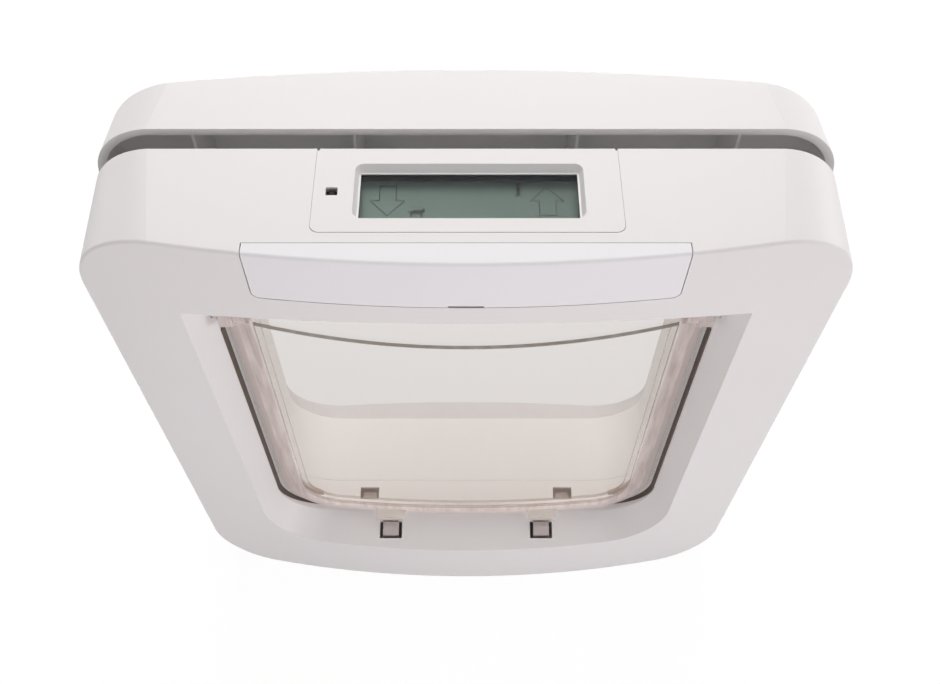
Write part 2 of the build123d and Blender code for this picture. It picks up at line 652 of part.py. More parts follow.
def make_solenoid(x, depth):
    wide, deep, tall = SOLENOID
    coil = block(x - wide / 2, x + wide / 2, depth - deep / 2, depth + deep / 2, SOLENOID_TOP - tall, SOLENOID_TOP)
    return coil - Pos(x, at(depth), SOLENOID_TOP) * Cylinder(PLUNGER_RADIUS + 0.3, 2 * tall - 3.0)


def make_plunger(x, depth):
    _, _, tall = SOLENOID
    low = SOLENOID_TOP - tall + 3.5
    return Pos(x, at(depth), (low + LOCK_BAR_LOW) / 2) * Cylinder(PLUNGER_RADIUS, LOCK_BAR_LOW - low)


def build_parts():
    """Every piece by its name."""
    inner_depth = (INNER_TAB[1] + INNER_TAB[2]) / 2
    outer_depth = (OUTER_TAB[1] + OUTER_TAB[2]) / 2
    parts = {
        "inner_frame": make_inner_frame(),
        "display_panel": make_display_panel(),
        "lcd_lens": make_lcd_lens(),
        "lcd_holder": make_lcd_holder(),
        "lcd_module": make_lcd_module(),
        "light_sensor": make_light_sensor(),
        "battery_cover": make_battery_cover(),
        "battery_tray": make_battery_tray(),
        "battery_contacts": make_contacts(),
        "button_board": make_button_board(),
        "main_board": make_main_board(),
        "reader_coil": make_reader_coil(),
        "tunnel_liner": make_tunnel_liner(),
        "rear_cover": make_rear_cover(),
        "cover_screws": make_cover_screws(),
        "outer_frame": make_outer_frame(),
        "outer_tunnel": make_outer_tunnel(),
        "fixing_screws": make_fixing_screws(),
        "screw_caps": make_screw_caps(),
        "flap_panel": make_flap_panel(),
        "inner_lock_bar": make_lock_bar(INNER_LATCH_X + 6, INNER_TAB, INNER_LATCH_X),
        "outer_lock_bar": make_lock_bar(OUTER_LATCH_X + 6, OUTER_TAB, OUTER_LATCH_X),
        "inner_lock_coil": make_solenoid(solenoid_x(-1), inner_depth),
        "outer_lock_coil": make_solenoid(solenoid_x(1), outer_depth),
        "inner_lock_plunger": make_plunger(solenoid_x(-1), inner_depth),
        "outer_lock_plunger": make_plunger(solenoid_x(1), outer_depth),
    }
    for side, name in ((-1, "left"), (1, "right")):
        parts[f"hinge_pin_{name}"] = make_hinge_pin(side)
        parts[f"brush_strip_{name}"] = make_brush_strip(side)
        parts[f"inner_latch_{name}"] = make_latch(side * INNER_LATCH_X, INNER_TAB, INNER_TAB_TOP, INNER_NOSE)
        parts[f"outer_latch_{name}"] = make_latch(side * OUTER_LATCH_X, OUTER_TAB, OUTER_TAB_TOP, OUTER_NOSE)
    for number, (row, half) in enumerate(((0, 0), (0, 1), (1, 0), (1, 1)), start=1):
        parts[f"battery_{number}"] = make_cell(row, half)
    places = [(x, z) for z in BUTTON_Z for x in BUTTON_X]
    for name, (x, z) in zip(("settings_button", "ok_button", "down_button", "up_button"), places):
        parts[name] = make_button(x, z)
    return parts


os.makedirs("parts", exist_ok=True)
for node, shape in build_parts().items():
    export_step(shape, f"parts/{node}.step")
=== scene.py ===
"""Finish, light and view of the pet door. Everything is in metres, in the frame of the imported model."""

import math

import bmesh
import bpy
from mathutils import Matrix, Vector


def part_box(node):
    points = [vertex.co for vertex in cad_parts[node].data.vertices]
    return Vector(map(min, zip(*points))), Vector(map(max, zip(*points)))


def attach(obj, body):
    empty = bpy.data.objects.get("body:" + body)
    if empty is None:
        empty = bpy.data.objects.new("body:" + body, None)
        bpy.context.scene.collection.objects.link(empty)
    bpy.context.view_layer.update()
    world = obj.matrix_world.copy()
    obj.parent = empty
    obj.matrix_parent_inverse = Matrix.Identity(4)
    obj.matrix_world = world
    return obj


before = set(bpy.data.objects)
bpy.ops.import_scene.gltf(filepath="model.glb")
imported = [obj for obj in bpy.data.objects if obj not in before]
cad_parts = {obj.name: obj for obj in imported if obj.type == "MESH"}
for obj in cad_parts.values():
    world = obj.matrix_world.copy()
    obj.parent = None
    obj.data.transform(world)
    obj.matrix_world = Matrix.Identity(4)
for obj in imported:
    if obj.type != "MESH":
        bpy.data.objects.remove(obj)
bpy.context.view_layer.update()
MM = 0.001

# Middle of the front face, from which depths count, in mm
FRONT_Y = -42.65

# Camera, as fitted to the photograph: place, degrees below level, and the frame's sizes in pixels
CAMERA_PLACE = (0.0, -236.65 * MM, 536 * MM)
CAMERA_DIP = 57.2
PHOTO_WIDTH = 940
FOCAL_PIXELS = 1025.0
CENTRE_PIXEL_X = 466.0
SENSOR = 36.0

# Sky: strength and tint of its light, and how bright it looks
SKY_STRENGTH = 0.09
SKY_TINT = (1.0, 0.985, 1.0)
WHITE_BACK = 1.0

# Floor: half its width, how far it lies under the object, its surface, and its share and strength of white
FLOOR_HALF = 3.0
FLOOR_DROP = 0.05 * MM
FLOOR_GREY = (0.5, 0.5, 0.5)
FLOOR_ROUGHNESS = 0.9
FLOOR_LIFT = 0.86
FLOOR_GLOW = 1.1

# Point that the lamps aim at, then each lamp: name, place, width, power and colour
LAMP_AIM = (0, 0, 0.15)
LAMPS = (
    ("front", (0.0, -0.7, 0.3), 0.4, 2.5, (1.0, 0.95, 0.955)),
    ("side_right", (1.1, -0.35, 0.25), 0.6, 4.8, (1.0, 0.955, 0.96)),
    ("side_left", (-1.1, -0.35, 0.25), 0.6, 1.3, (1.0, 0.94, 0.93)),
    ("top", (0.0, 0.35, 1.4), 1.1, 4.3, (0.995, 0.995, 0.98)),
    ("back", (0.0, 0.65, 0.88), 0.9, 8.2, (1.0, 0.975, 0.95)),
    ("back_left", (-0.95, 0.38, 0.3), 0.5, 1.2, (1.0, 0.975, 0.95)),
    ("back_right", (0.95, 0.38, 0.3), 0.5, 1.6, (1.0, 0.975, 0.95)),
)

# Light that the bright room behind sends into the tunnel, added as a faint glow of its walls
TUNNEL_GLOW = 0.12

# How strongly moulded plastic mirrors, where 0.5 is a polished one
SHEEN = 0.28

# Flap: half width, lowest height and corner of its outline and of its window
FLAP_OUTLINE = (90.5 * MM, 45.0 * MM, 25.0 * MM)
FLAP_WINDOW = (80.5 * MM, 55.0 * MM, 17.0 * MM)

# Flap: radius of its curved sheet, greatest depth of its front faces, width of its rim and of its side skin
FLAP_RADIUS = 650 * MM
FLAP_FRONT_DEPTH = 17.8 * MM
FLAP_RIM = 3.2 * MM
EDGE_SKIN = 0.15 * MM

# Flap: height of the window's bowed upper edge at its ends and in the middle
ARC_END = 214 * MM
ARC_MIDDLE = 205 * MM

# Flap: softness of its zones, half widths of its dark lines of painted shade, where these end and how far
# they fade
EDGE_BLUR = 0.9 * MM
STEP_LINE = 0.2 * MM
SIDE_LINE = 0.85 * MM
STEP_GONE = 100 * MM
STEP_FADE = 45 * MM

# Flap: painted shade of the shaded tunnel floor behind, a veil of the window's dark tone that grows towards
# the bottom
LOW_SHADE_RUN = 150 * MM
LOW_SHADE = 0.06

# Flap: the two tongues on its lower edge
TONGUE_X = 38.5 * MM
TONGUE_HALF = 7.6 * MM
TONGUE_TOP = 47.8 * MM

# How much each zone of the flap hides of what is behind it, for one of its two faces
WINDOW_VEIL = 0.23
BORDER_VEIL = 0.68
RIM_VEIL = 0.75
STEP_VEIL = 0.95
TONGUE_VEIL = 0.4

# Bristles: width of the dark ends beside the flap's edge, and of the change to pale ones
BRISTLE_DARK_WIDTH = 0.3 * MM
BRISTLE_FADE = 2.0 * MM

# Colours, as linear values
WHITE_SHELL = (0.80, 0.785, 0.79)
COOL_SHELL = (0.838, 0.835, 0.86)
WARM_SHELL = (0.80, 0.79, 0.775)
TUNNEL_WHITE = (0.885, 0.87, 0.86)
WINDOW_TONE = (0.39, 0.30, 0.24)
BORDER_DARK = (0.62, 0.53, 0.51)
BORDER_LIGHT = (0.95, 0.85, 0.82)
RIM_TONE = (0.68, 0.60, 0.57)
# Painted shade of the window's step wall and side edges
STEP_SHADE_TONE = (0.40, 0.37, 0.32)
TONGUE_TONE = (0.75, 0.69, 0.62)
LATCH_GREY = (0.50, 0.45, 0.44)
LENS_BLACK = (0.02, 0.02, 0.02)
LCD_GREY = (0.140, 0.222, 0.192)
LCD_INK = (0.02, 0.028, 0.024)
MATT_BLACK = (0.008, 0.008, 0.009)
RUBBER_GREY = (0.17, 0.175, 0.185)
BRISTLE = (0.16, 0.125, 0.105)
BRISTLE_PALE = (0.50, 0.45, 0.42)
STEEL = (0.56, 0.56, 0.55)
COPPER = (0.55, 0.22, 0.10)
BOARD_GREEN = (0.012, 0.09, 0.035)
COIL_GREY = (0.10, 0.105, 0.115)
CELL_DARK = (0.03, 0.032, 0.038)
CELL_BAND = (0.45, 0.30, 0.06)

# Sockets of a colour mix, by place: the two colours and the result
MIX_LOW = 6
MIX_HIGH = 7
MIX_RESULT = 2


class Signal:
    """A shader socket that can be used in Python sums."""

    def __init__(self, nodes, socket):
        self.nodes = nodes
        self.socket = socket

    def _sum(self, operation, *values):
        return self.nodes.add("ShaderNodeMath", {"operation": operation}, values)

    def __add__(self, other):
        return self._sum("ADD", self, other)

    def __radd__(self, other):
        return self._sum("ADD", other, self)

    def __sub__(self, other):
        return self._sum("SUBTRACT", self, other)

    def __rsub__(self, other):
        return self._sum("SUBTRACT", other, self)

    def __mul__(self, other):
        return self._sum("MULTIPLY", self, other)

    def __rmul__(self, other):
        return self._sum("MULTIPLY", other, self)

    def __gt__(self, other):
        return self._sum("GREATER_THAN", self, other)

    def __lt__(self, other):
        return self._sum("LESS_THAN", self, other)

    def abs(self):
        return self._sum("ABSOLUTE", self)

    def root(self):
        return self._sum("SQRT", self)

    def at_least(self, other):
        return self._sum("MAXIMUM", self, other)

    def at_most(self, other):
        return self._sum("MINIMUM", self, other)

    def clamp(self):
        return self.nodes.add("ShaderNodeClamp", {}, [self])


class Nodes:
    """The node tree of a material or of the sky."""

    def __init__(self, owner):
        owner.use_nodes = True
        self.tree = owner.node_tree

    def fill(self, socket, value):
        """Links a signal to a socket, or sets the socket to a number, a vector or a colour."""
        if isinstance(value, Signal):
            self.tree.links.new(value.socket, socket)
        elif socket.type == "RGBA":
            socket.default_value = (*value, 1.0)
        else:
            socket.default_value = value

    def add(self, kind, settings, values, output=0):
        """New node: its settings first, then the values or links of its sockets by place or by name."""
        node = self.tree.nodes.new(kind)
        for setting, value in settings.items():
            setattr(node, setting, value)
        pairs = values.items() if isinstance(values, dict) else enumerate(values)
        for socket, value in pairs:
            self.fill(node.inputs[socket], value)
        return Signal(self, node.outputs[output])

    def first(self, name):
        """Result of the shader that the tree starts with."""
        return Signal(self, self.tree.nodes[name].outputs[0])

    def show(self, output, shader):
        """Makes a shader the one that the tree's output shows."""
        self.fill(self.tree.nodes[output].inputs["Surface"], shader)


class Paint(Nodes):
    """A material under construction, with its Principled shader."""

    def __init__(self, name, colour, roughness, **sockets):
        self.material = bpy.data.materials.new(name)
        super().__init__(self.material)
        self.put("Base Color", colour)
        self.put("Roughness", roughness)
        for socket, value in sockets.items():
            self.put(socket.replace("_", " "), value)

    def put(self, socket, value):
        """Sets a socket of the Principled shader, or links a signal to it."""
        self.fill(self.tree.nodes["Principled BSDF"].inputs[socket], value)

    def place(self):
        """Object coordinates, which are the row frame in metres."""
        return self.add("ShaderNodeTexCoord", {}, [], output="Object")

    def axis(self, index):
        """One object coordinate as a number, 0 for X, 1 for Y, 2 for Z."""
        return self.add("ShaderNodeSeparateXYZ", {}, [self.place()], output=index)

    def noise(self, scale, detail=2.0, stretch=(1, 1, 1)):
        """Noise from 0 to 1 in object space, with features of about 1/scale metres."""
        turned = self.add("ShaderNodeMapping", {}, {"Vector": self.place(), "Scale": stretch})
        values = {"Vector": turned, "Scale": scale, "Detail": detail}
        return self.add("ShaderNodeTexNoise", {}, values)

    def blend(self, factor, low, high):
        """Colour that goes from low to high with the factor."""
        values = {0: factor, MIX_LOW: low, MIX_HIGH: high}
        return self.add("ShaderNodeMix", {"data_type": "RGBA"}, values, output=MIX_RESULT)

    def bump(self, height, depth):
        """Relief of the given depth in metres for a height from 0 to 1."""
        self.put("Normal", self.add("ShaderNodeBump", {}, {"Distance": depth, "Height": height}))

    def uneven(self, signal, middle, spread):
        """Roughness that varies with a signal from 0 to 1, by the spread round its middle value."""
        self.put("Roughness", signal * spread + (middle - spread / 2))


def shade(colour, factor):
    """Lighter or darker version of a colour."""
    return tuple(min(1.0, channel * factor) for channel in colour)


# Moulded plastic: features per metre of its clouds and grain, and what each adds to the roughness
CLOUDS = 9.0
CLOUD_ROUGHNESS = 0.06
GRAIN_ROUGHNESS = 0.08
GRAIN_DEPTH = 0.012 * MM


def moulded(name, colour, roughness=0.42, grain=2200.0, drift=0.03, glow=0.0):
    """Moulded plastic: fine spark-eroded grain, and a faint cloudy drift of tone and sheen."""
    paint = Paint(name, colour, roughness, Specular_IOR_Level=SHEEN, Emission_Strength=glow)
    cloud = paint.noise(CLOUDS, detail=3.0)
    paint.put("Base Color", paint.blend(cloud, shade(colour, 1.0 - drift), shade(colour, 1.0 + drift)))
    fine = paint.noise(grain, detail=1.0)
    least = roughness - (GRAIN_ROUGHNESS + CLOUD_ROUGHNESS) / 2
    paint.put("Roughness", fine * GRAIN_ROUGHNESS + cloud * CLOUD_ROUGHNESS + least)
    paint.bump(fine, GRAIN_DEPTH)
    return paint.material


def inside(paint, half, low, corner):
    """Metres that a point lies inside an outline with round lower corners and an open top."""
    across = paint.axis(0).abs() - (half - corner)
    down = (low + corner) - paint.axis(2)
    out_x = across.at_least(0.0)
    out_z = down.at_least(0.0)
    reach = (out_x * out_x + out_z * out_z).root()
    return corner - reach - across.at_least(down).at_most(0.0)


# Clear plastic of the flap: how it bends light, waves left by moulding, and streaks along the border
CLEAR_IOR = 1.45
CLEAR_ROUGHNESS = 0.055
WAVES = 38.0
WAVE_ROUGHNESS = 0.05
WAVE_DEPTH = 0.05 * MM
STREAKS = 420.0
STREAK_STRETCH = (1.0, 1.0, 0.12)
STREAK_CONTRAST = 2.2
STREAK_FLOOR = 0.6


def smoked_clear(name):
    """Smoked clear plastic: milky streaked border, rim, and a dark line of painted shade round the raised
    window, where its step wall looks dark.
    """
    paint = Paint(name, WINDOW_TONE, CLEAR_ROUGHNESS, IOR=CLEAR_IOR)
    wave = paint.noise(WAVES)
    paint.uneven(wave, CLEAR_ROUGHNESS, WAVE_ROUGHNESS)
    paint.bump(wave, WAVE_DEPTH)
    side = paint.axis(0)
    height = paint.axis(2)
    depth = paint.axis(1) - side * side * (0.5 / FLAP_RADIUS) - FRONT_Y * MM
    front = (FLAP_FRONT_DEPTH - depth) > 0.0

    # Zones, from 0 to 1
    in_flap = inside(paint, *FLAP_OUTLINE)
    in_sides = inside(paint, *FLAP_WINDOW)
    bow = side * side * ((ARC_END - ARC_MIDDLE) / FLAP_WINDOW[0] ** 2)
    under_arc = bow + ARC_MIDDLE - height
    in_window = in_sides.at_most(under_arc)
    border = ((0.0 - in_sides) * (1 / EDGE_BLUR)).clamp()
    rim = ((FLAP_RIM - in_flap) * (1 / EDGE_BLUR)).clamp()
    rim_seen = rim * front.at_least((EDGE_SKIN - in_flap.abs()) > 0.0)
    # Painted shade: a dark line along the window's step and sides for the dark look of the step wall, faded
    # out low down and kept to the front faces
    side_line_shade = (1.0 - (in_sides.abs() * (1 / SIDE_LINE)).clamp()) * (under_arc > 0.0)
    step_shade = (1.0 - (in_window.abs() * (1 / STEP_LINE)).clamp()).at_least(side_line_shade)
    step_shade = step_shade * ((height - STEP_GONE) * (1 / STEP_FADE)).clamp() * front
    from_tongue = (side.abs() - TONGUE_X).abs()
    tongue = ((TONGUE_HALF - from_tongue) > 0.0) * ((TONGUE_TOP - height) > 0.0)

    # Colour and veil of each zone
    drawn = paint.noise(STREAKS, detail=3.0, stretch=STREAK_STRETCH)
    streaks = (drawn * STREAK_CONTRAST - STREAK_FLOOR).clamp()
    tone = paint.blend(border, WINDOW_TONE, paint.blend(streaks, BORDER_DARK, BORDER_LIGHT))
    tone = paint.blend(rim, tone, RIM_TONE)
    tone = paint.blend(tongue, tone, TONGUE_TONE)
    paint.put("Base Color", paint.blend(step_shade, tone, STEP_SHADE_TONE))
    # Painted shade: the window's veil thickens towards the bottom, darkening it where the shaded tunnel
    # floor lies behind
    window_veil_with_shade = ((ARC_MIDDLE - height) * (1 / LOW_SHADE_RUN)).clamp() * LOW_SHADE + WINDOW_VEIL
    veil = (border * (BORDER_VEIL - window_veil_with_shade) * front + window_veil_with_shade).at_least(rim_seen * RIM_VEIL)
    veil = veil + tongue * (TONGUE_VEIL - veil)
    paint.put("Alpha", veil.at_least(step_shade * STEP_VEIL))
    return paint.material


# Window over the display: how much of it is seen, its clouds per metre, its roughness and their spread
LENS_VEIL = 0.1
LENS_HAZE = 120.0
LENS_ROUGHNESS = 0.04
LENS_SPREAD = 0.04


def clear_window(name):
    """Thin clear window over the display."""
    paint = Paint(name, LENS_BLACK, LENS_ROUGHNESS, Alpha=LENS_VEIL)
    paint.uneven(paint.noise(LENS_HAZE), LENS_ROUGHNESS, LENS_SPREAD)
    return paint.material


# Display cell: how it mirrors, its clouds, and how its tone runs from the left to the right end
LCD_GLOSS = 0.2
LCD_CLOUDS = 60.0
LCD_ROUGHNESS = 0.33
LCD_SPREAD = 0.1
LCD_RUN_SHARE = 0.8
LCD_LEFT = 1.18
LCD_RIGHT = 0.92


def display_glass(name):
    """Grey-green display cell, a little lighter to the left."""
    paint = Paint(name, LCD_GREY, LCD_ROUGHNESS, Specular_IOR_Level=LCD_GLOSS)
    low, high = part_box("lcd_module")
    run = (paint.axis(0) - low.x) * (1.0 / (high.x - low.x))
    cloud = paint.noise(LCD_CLOUDS)
    tone = (run * LCD_RUN_SHARE + cloud * (1.0 - LCD_RUN_SHARE)).clamp()
    paint.put("Base Color", paint.blend(tone, shade(LCD_GREY, LCD_LEFT), shade(LCD_GREY, LCD_RIGHT)))
    paint.uneven(cloud, LCD_ROUGHNESS, LCD_SPREAD)
    return paint.material


# Bristles: hairs and clumps per metre, how much each counts, and the darkest and palest tone
HAIRS = 900.0
HAIR_STRETCH = (0.15, 1.0, 1.0)
HAIR_SHARE = 0.7
CLUMPS = 160.0
CLUMP_SHARE = 0.5
TUFT_FLOOR = 0.1
HAIR_SHADOW = 0.5
HAIR_TIP = 1.25
HAIR_DEPTH = 0.25 * MM
BRISTLE_ROUGHNESS = 0.8


def bristles(name):
    """Packed bristles, dark at their outer ends and pale towards the middle of the flap."""
    paint = Paint(name, BRISTLE, BRISTLE_ROUGHNESS)
    hairs = paint.noise(HAIRS, detail=3.0, stretch=HAIR_STRETCH)
    clumps = paint.noise(CLUMPS)
    inward = ((inside(paint, *FLAP_OUTLINE) - BRISTLE_DARK_WIDTH) * (1 / BRISTLE_FADE)).clamp()
    tuft = (hairs * HAIR_SHARE + clumps * CLUMP_SHARE - TUFT_FLOOR).clamp()
    dark = paint.blend(tuft, shade(BRISTLE, HAIR_SHADOW), BRISTLE)
    pale = paint.blend(tuft, BRISTLE_PALE, shade(BRISTLE_PALE, HAIR_TIP))
    paint.put("Base Color", paint.blend(inward, dark, pale))
    paint.bump(hairs, HAIR_DEPTH)
    return paint.material


# Plated steel: drawing lines per metre, what they do to the roughness, and their depth
STEEL_ROUGHNESS = 0.3
STEEL_SPREAD = 0.2
DRAWN_LINES = 900.0
DRAWN_STRETCH = (0.1, 1.0, 1.0)
DRAWN_DEPTH = 0.01 * MM


def plated_steel(name):
    """Bright plated steel with fine drawing lines."""
    paint = Paint(name, STEEL, STEEL_ROUGHNESS, Metallic=1.0)
    lines = paint.noise(DRAWN_LINES, stretch=DRAWN_STRETCH)
    paint.uneven(lines, STEEL_ROUGHNESS, STEEL_SPREAD)
    paint.bump(lines, DRAWN_DEPTH)
    return paint.material


# Reader coil: turns of wire, how dark the painted shade in the gaps between them is, and how deep
WIRE_ROUGHNESS = 0.35
WIRE_METAL = 0.9
WIRE_TURNS = 900.0
WIRE_WANDER = 0.3
WIRE_GAP_SHADE = 0.5
WIRE_DEPTH = 0.15 * MM


def winding(name):
    """Enamelled wire wound side by side round the tunnel, with painted shade in the gaps between the turns.
    """
    paint = Paint(name, COPPER, WIRE_ROUGHNESS, Metallic=WIRE_METAL)
    values = {"Vector": paint.place(), "Scale": WIRE_TURNS, "Distortion": WIRE_WANDER}
    turns = paint.add("ShaderNodeTexWave", {"bands_direction": "Y"}, values, output="Fac")
    paint.put("Base Color", paint.blend(turns, shade(COPPER, WIRE_GAP_SHADE), COPPER))
    paint.bump(turns, WIRE_DEPTH)
    return paint.material


# Boards: fields of the track pattern per metre, width of a track in one field, its tone and height
BOARD_ROUGHNESS = 0.35
TRACK_FIELDS = 260.0
TRACK_WIDTH = 0.06
TRACK_TONE = 2.6
TRACK_HIGH = 0.05 * MM


def circuit_board(name):
    """Green solder mask with paler tracks."""
    paint = Paint(name, BOARD_GREEN, BOARD_ROUGHNESS)
    settings = {"feature": "DISTANCE_TO_EDGE", "distance": "MANHATTAN"}
    values = {"Vector": paint.place(), "Scale": TRACK_FIELDS}
    track = paint.add("ShaderNodeTexVoronoi", settings, values, output="Distance") < TRACK_WIDTH
    paint.put("Base Color", paint.blend(track, BOARD_GREEN, shade(BOARD_GREEN, TRACK_TONE)))
    paint.bump(track, TRACK_HIGH)
    return paint.material


# Cells: share of the length where the band starts, and the wrapper's gloss
CELL_BAND_START = 0.74
CELL_COAT = 0.4
CELL_CLOUDS = 50.0
CELL_ROUGHNESS = 0.3
CELL_SPREAD = 0.12


def cell_wrap(name, low, high):
    """Plain dark cell wrapper with a pale band at one end."""
    paint = Paint(name, CELL_DARK, CELL_ROUGHNESS, Coat_Weight=CELL_COAT)
    run = (paint.axis(0) - low.x) * (1.0 / (high.x - low.x))
    paint.put("Base Color", paint.blend(run > CELL_BAND_START, CELL_DARK, CELL_BAND))
    paint.uneven(paint.noise(CELL_CLOUDS), CELL_ROUGHNESS, CELL_SPREAD)
    return paint.material


def give(material, *nodes):
    """One material for the whole of each node."""
    for node in nodes:
        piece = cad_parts[node]
        piece.data.materials.clear()
        piece.data.materials.append(material)


def finish_cad_nodes():
    """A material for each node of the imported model."""
    white = moulded("white_shell", WHITE_SHELL)
    warm = moulded("white_inner", WARM_SHELL, roughness=0.5)
    tunnel = moulded("white_tunnel", TUNNEL_WHITE, roughness=0.5, glow=TUNNEL_GLOW)
    latch = moulded("latch_grey", LATCH_GREY, roughness=0.35, grain=3000.0)
    rubber = moulded("button_rubber", RUBBER_GREY, roughness=0.6, drift=0.08)
    give(white, "inner_frame", "display_panel", "outer_frame", "screw_caps")
    give(moulded("white_cover", COOL_SHELL), "battery_cover")
    give(warm, "battery_tray", "rear_cover", "inner_lock_bar", "outer_lock_bar")
    give(tunnel, "tunnel_liner", "outer_tunnel")
    give(latch, "inner_latch_left", "inner_latch_right", "outer_latch_left", "outer_latch_right")
    give(smoked_clear("smoked_clear"), "flap_panel")
    give(clear_window("clear_window"), "lcd_lens")
    give(display_glass("display_glass"), "lcd_module")
    give(moulded("matt_black", MATT_BLACK, roughness=0.6), "lcd_holder", "light_sensor")
    give(rubber, "settings_button", "ok_button", "up_button", "down_button")
    give(bristles("bristles"), "brush_strip_left", "brush_strip_right")
    give(plated_steel("plated_steel"), "hinge_pin_left", "hinge_pin_right", "cover_screws",
         "fixing_screws", "battery_contacts", "inner_lock_plunger", "outer_lock_plunger")
    give(winding("copper_winding"), "reader_coil")
    give(circuit_board("circuit_board"), "main_board", "button_board")
    give(moulded("coil_case", COIL_GREY, roughness=0.4), "inner_lock_coil", "outer_lock_coil")
    for number in range(1, 5):
        node = f"battery_{number}"
        give(cell_wrap(f"cell_wrap_{number}", *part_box(node)), node)


def finished(name, mesh, material, body):
    """Turns a bmesh into a piece of the scene that rides on a body."""
    bmesh.ops.recalc_face_normals(mesh, faces=mesh.faces)
    data = bpy.data.meshes.new(name)
    mesh.to_mesh(data)
    mesh.free()
    piece = bpy.data.objects.new(name, data)
    bpy.context.scene.collection.objects.link(piece)
    piece.data.materials.append(material)
    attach(piece, body)


def new_points(geometry):
    """Points among what a bmesh operator returns."""
    return [item for item in geometry if isinstance(item, bmesh.types.BMVert)]


# Ink of the display: gap under it, thickness, and widths of a line and of a fine line, in mm
INK_GAP = 0.01
INK_THICK = 0.06
LINE = 0.32
FINE_LINE = 0.2

# Display symbols: places on the glass in mm, X to the right and depth from the middle of the front face
DOWN_ARROW = ((-28.9, 37.2), (-23.4, 37.2), (-23.4, 31.0), (-20.5, 30.8),
              (-26.1, 24.4), (-32.0, 30.8), (-28.9, 31.0))
UP_ARROW = ((27.0, 36.9), (32.7, 30.6), (29.9, 30.9), (29.9, 24.7),
            (24.4, 24.7), (24.4, 30.9), (21.3, 30.6))
ANIMAL = ((-19.4, 26.2), (-18.0, 26.4), (-17.4, 27.0), (-14.9, 26.9), (-14.1, 27.6), (-13.5, 27.3),
          (-13.5, 26.0), (-14.3, 25.6), (-14.4, 23.9), (-15.1, 23.9), (-15.3, 25.1), (-17.5, 25.1),
          (-17.8, 23.9), (-18.5, 23.9), (-18.4, 25.6), (-19.5, 25.9))

# Cell gauge: left, right, front and rear of its case, its filling and its cap
GAUGE_CASE = (16.4, 18.6, 32.9, 37.6)
GAUGE_FILLING = (16.9, 18.1, 33.4, 37.1)
GAUGE_CAP = (17.1, 17.9, 37.7, 38.3)

# Three dashes over the animal: where each starts, their length and their depth
DASH_STARTS = (-18.4, -17.0, -15.6)
DASH_LENGTH = 0.8
DASH_DEPTH = 28.2


class Ink:
    """Dark segments on the display glass, as plates of one thickness."""

    def __init__(self):
        self.mesh = bmesh.new()
        self.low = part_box("lcd_module")[1].z + INK_GAP * MM

    def plate(self, points):
        """Upright-edged plate over an outline of points on the glass."""
        bottom = [self.mesh.verts.new((x * MM, (FRONT_Y + depth) * MM, self.low)) for x, depth in points]
        lifted = bmesh.ops.extrude_face_region(self.mesh, geom=[self.mesh.faces.new(bottom)])
        bmesh.ops.translate(self.mesh, verts=new_points(lifted["geom"]), vec=(0, 0, INK_THICK * MM))

    def stroke(self, start, end, width):
        """Straight line between two points on the glass."""
        a = Vector(start)
        b = Vector(end)
        along = (b - a).normalized() * width / 2
        side = Vector((-along.y, along.x))
        self.plate((a - along - side, b + along - side, b + along + side, a - along + side))

    def closed_line(self, points, width):
        """Outline through all the points, back to the first."""
        for start, end in zip(points, points[1:] + points[:1]):
            self.stroke(start, end, width)


def rectangle(left, right, front, rear):
    """Corners of an upright rectangle on the glass."""
    return ((left, front), (right, front), (right, rear), (left, rear))


def display_symbols():
    """Two outlined arrows, a cell gauge and a small animal."""
    ink = Ink()
    ink.closed_line(DOWN_ARROW, LINE)
    ink.closed_line(UP_ARROW, LINE)
    ink.closed_line(rectangle(*GAUGE_CASE), FINE_LINE)
    ink.plate(rectangle(*GAUGE_FILLING))
    ink.plate(rectangle(*GAUGE_CAP))
    ink.plate(ANIMAL)
    for x in DASH_STARTS:
        ink.stroke((x, DASH_DEPTH), (x + DASH_LENGTH, DASH_DEPTH), FINE_LINE)
    black = moulded("display_ink", LCD_INK, roughness=0.5, drift=0.1)
    finished("display_symbols", ink.mesh, black, "frames")


# Collar wall that the dark strip of painted shade stands on, in mm: half width, radius of its lower
# corners, and the sill's height
WALL_HALF = 92.95
WALL_CORNER = 26.95
WALL_LOW = 43.05

# Dark strip of painted shade for the gap beside the flap, made as a low pile, in mm: how high it stands,
# from which depth to which it runs, and its top
GAP_SHADE_HIGH = 0.5
GAP_SHADE_FRONT = 20.15
GAP_SHADE_BACK = 23.9
GAP_SHADE_TOP = 212.0

# Dark strip at the corners: degrees it goes round, share of its height it loses, mm it draws back, and
# steps
GAP_SHADE_TURN = 84
GAP_SHADE_LOSS = 0.9
GAP_SHADE_RECEDES = 3.4
GAP_SHADE_STEPS = 26


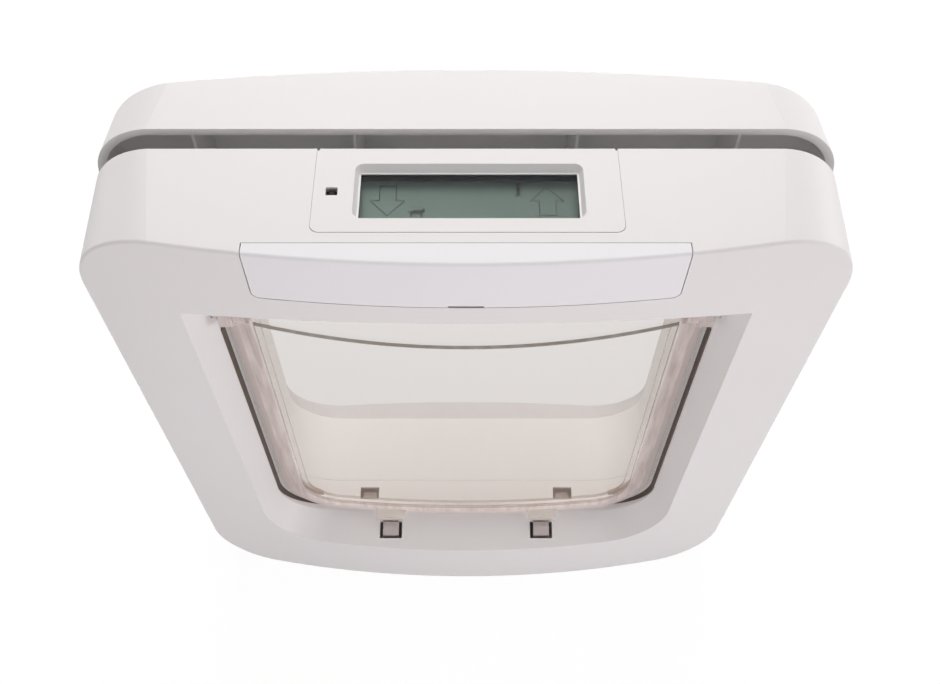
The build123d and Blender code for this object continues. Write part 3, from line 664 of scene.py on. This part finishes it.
def collar_gap_shade():
    """Thin dark strip along both side walls of the collar, painted shade of the gap beside the flap made as
    a low pile, dying out round the lower corners.
    """
    mesh = bmesh.new()
    front = (FRONT_Y + GAP_SHADE_FRONT) * MM
    centre = Vector((WALL_HALF - WALL_CORNER, 0, WALL_LOW + WALL_CORNER)) * MM
    centre.y = front

    # Front face: a straight strip from the top, then round the corner
    ends = [mesh.verts.new((x * MM, front, GAP_SHADE_TOP * MM)) for x in (WALL_HALF, WALL_HALF - GAP_SHADE_HIGH)]
    lower = new_points(bmesh.ops.extrude_edge_only(mesh, edges=[mesh.edges.new(ends)])["geom"])
    bmesh.ops.translate(mesh, verts=lower, vec=(0, 0, centre.z - GAP_SHADE_TOP * MM))
    turned = lower + [mesh.edges.get(lower)]
    bmesh.ops.spin(mesh, geom=turned, cent=centre, axis=(0, 1, 0), angle=math.radians(GAP_SHADE_TURN),
                   steps=GAP_SHADE_STEPS)

    # Thinner and further back along the corner
    straight = (WALL_CORNER - GAP_SHADE_HIGH / 2) * MM
    for point in mesh.verts:
        arm = point.co - centre
        if arm.z < 0:
            share = math.degrees(math.atan2(-arm.z, arm.x)) / GAP_SHADE_TURN
            if arm.length < straight:
                point.co += arm.normalized() * GAP_SHADE_HIGH * GAP_SHADE_LOSS * share * MM
            point.co.y += share * GAP_SHADE_RECEDES * MM

    # Depth, then the same on the left side
    drawn = bmesh.ops.extrude_face_region(mesh, geom=mesh.faces[:])
    for point in new_points(drawn["geom"]):
        point.co.y = (FRONT_Y + GAP_SHADE_BACK) * MM
    whole = mesh.verts[:] + mesh.edges[:] + mesh.faces[:]
    bmesh.ops.mirror(mesh, geom=whole, matrix=Matrix(), merge_dist=0, axis="X")
    finished("collar_gap_shade", mesh, bristles("collar_gap_shade"), "frames")


def make_camera():
    """Camera of the photograph."""
    data = bpy.data.cameras.new("camera")
    data.sensor_width = SENSOR
    data.lens = FOCAL_PIXELS / PHOTO_WIDTH * SENSOR
    data.shift_x = (PHOTO_WIDTH / 2 - CENTRE_PIXEL_X) / PHOTO_WIDTH
    camera = bpy.data.objects.new("camera", data)
    camera.location = CAMERA_PLACE
    camera.rotation_euler = (math.radians(90 - CAMERA_DIP), 0, 0)
    bpy.context.scene.collection.objects.link(camera)
    bpy.context.scene.camera = camera


def seen_white(nodes, plain, white):
    """Mixes a plain shader with a white one for what the camera, a mirror or a clear piece sees."""
    seen = nodes.add("ShaderNodeLightPath", {}, [], output="Is Camera Ray")
    for ray in ("Is Glossy Ray", "Is Transmission Ray"):
        seen = seen.at_least(nodes.add("ShaderNodeLightPath", {}, [], output=ray))
    return nodes.add("ShaderNodeMixShader", {}, [seen, plain, white])


def make_sky():
    """Faint even light that looks white."""
    world = bpy.data.worlds.new("sky")
    bpy.context.scene.world = world
    nodes = Nodes(world)
    light = nodes.tree.nodes["Background"]
    nodes.fill(light.inputs["Color"], SKY_TINT)
    nodes.fill(light.inputs["Strength"], SKY_STRENGTH)
    white = nodes.add("ShaderNodeBackground", {}, {"Strength": WHITE_BACK})
    nodes.show("World Output", seen_white(nodes, nodes.first("Background"), white))


def make_floor():
    """Pale floor that reads as white and keeps a light shadow of the object."""
    mesh = bmesh.new()
    bmesh.ops.create_grid(mesh, x_segments=1, y_segments=1, size=FLOOR_HALF)
    data = bpy.data.meshes.new("floor")
    mesh.to_mesh(data)
    mesh.free()
    floor = bpy.data.objects.new("floor", data)
    floor.location = (0, 0, -FLOOR_DROP)
    bpy.context.scene.collection.objects.link(floor)
    paint = Paint("pale_floor", FLOOR_GREY, FLOOR_ROUGHNESS)
    plain = paint.first("Principled BSDF")
    glow = paint.add("ShaderNodeEmission", {}, {"Strength": FLOOR_GLOW})
    lift = paint.add("ShaderNodeMixShader", {}, [FLOOR_LIFT, plain, glow])
    paint.show("Material Output", seen_white(paint, plain, lift))
    floor.data.materials.append(paint.material)


def make_lamp(name, place, width, power, colour):
    """Square lamp that aims at the middle of the object."""
    data = bpy.data.lights.new(name, "AREA")
    data.shape = "SQUARE"
    data.size = width
    data.energy = power
    data.color = colour
    lamp = bpy.data.objects.new(name, data)
    lamp.location = place
    aim = Vector(LAMP_AIM) - Vector(place)
    lamp.rotation_euler = aim.to_track_quat("-Z", "Y").to_euler()
    bpy.context.scene.collection.objects.link(lamp)


def make_lamps():
    """All lamps of the list."""
    for lamp in LAMPS:
        make_lamp(*lamp)


finish_cad_nodes()
display_symbols()
collar_gap_shade()
make_camera()
make_sky()
make_floor()
make_lamps()
bpy.context.scene.view_settings.view_transform = "Standard"
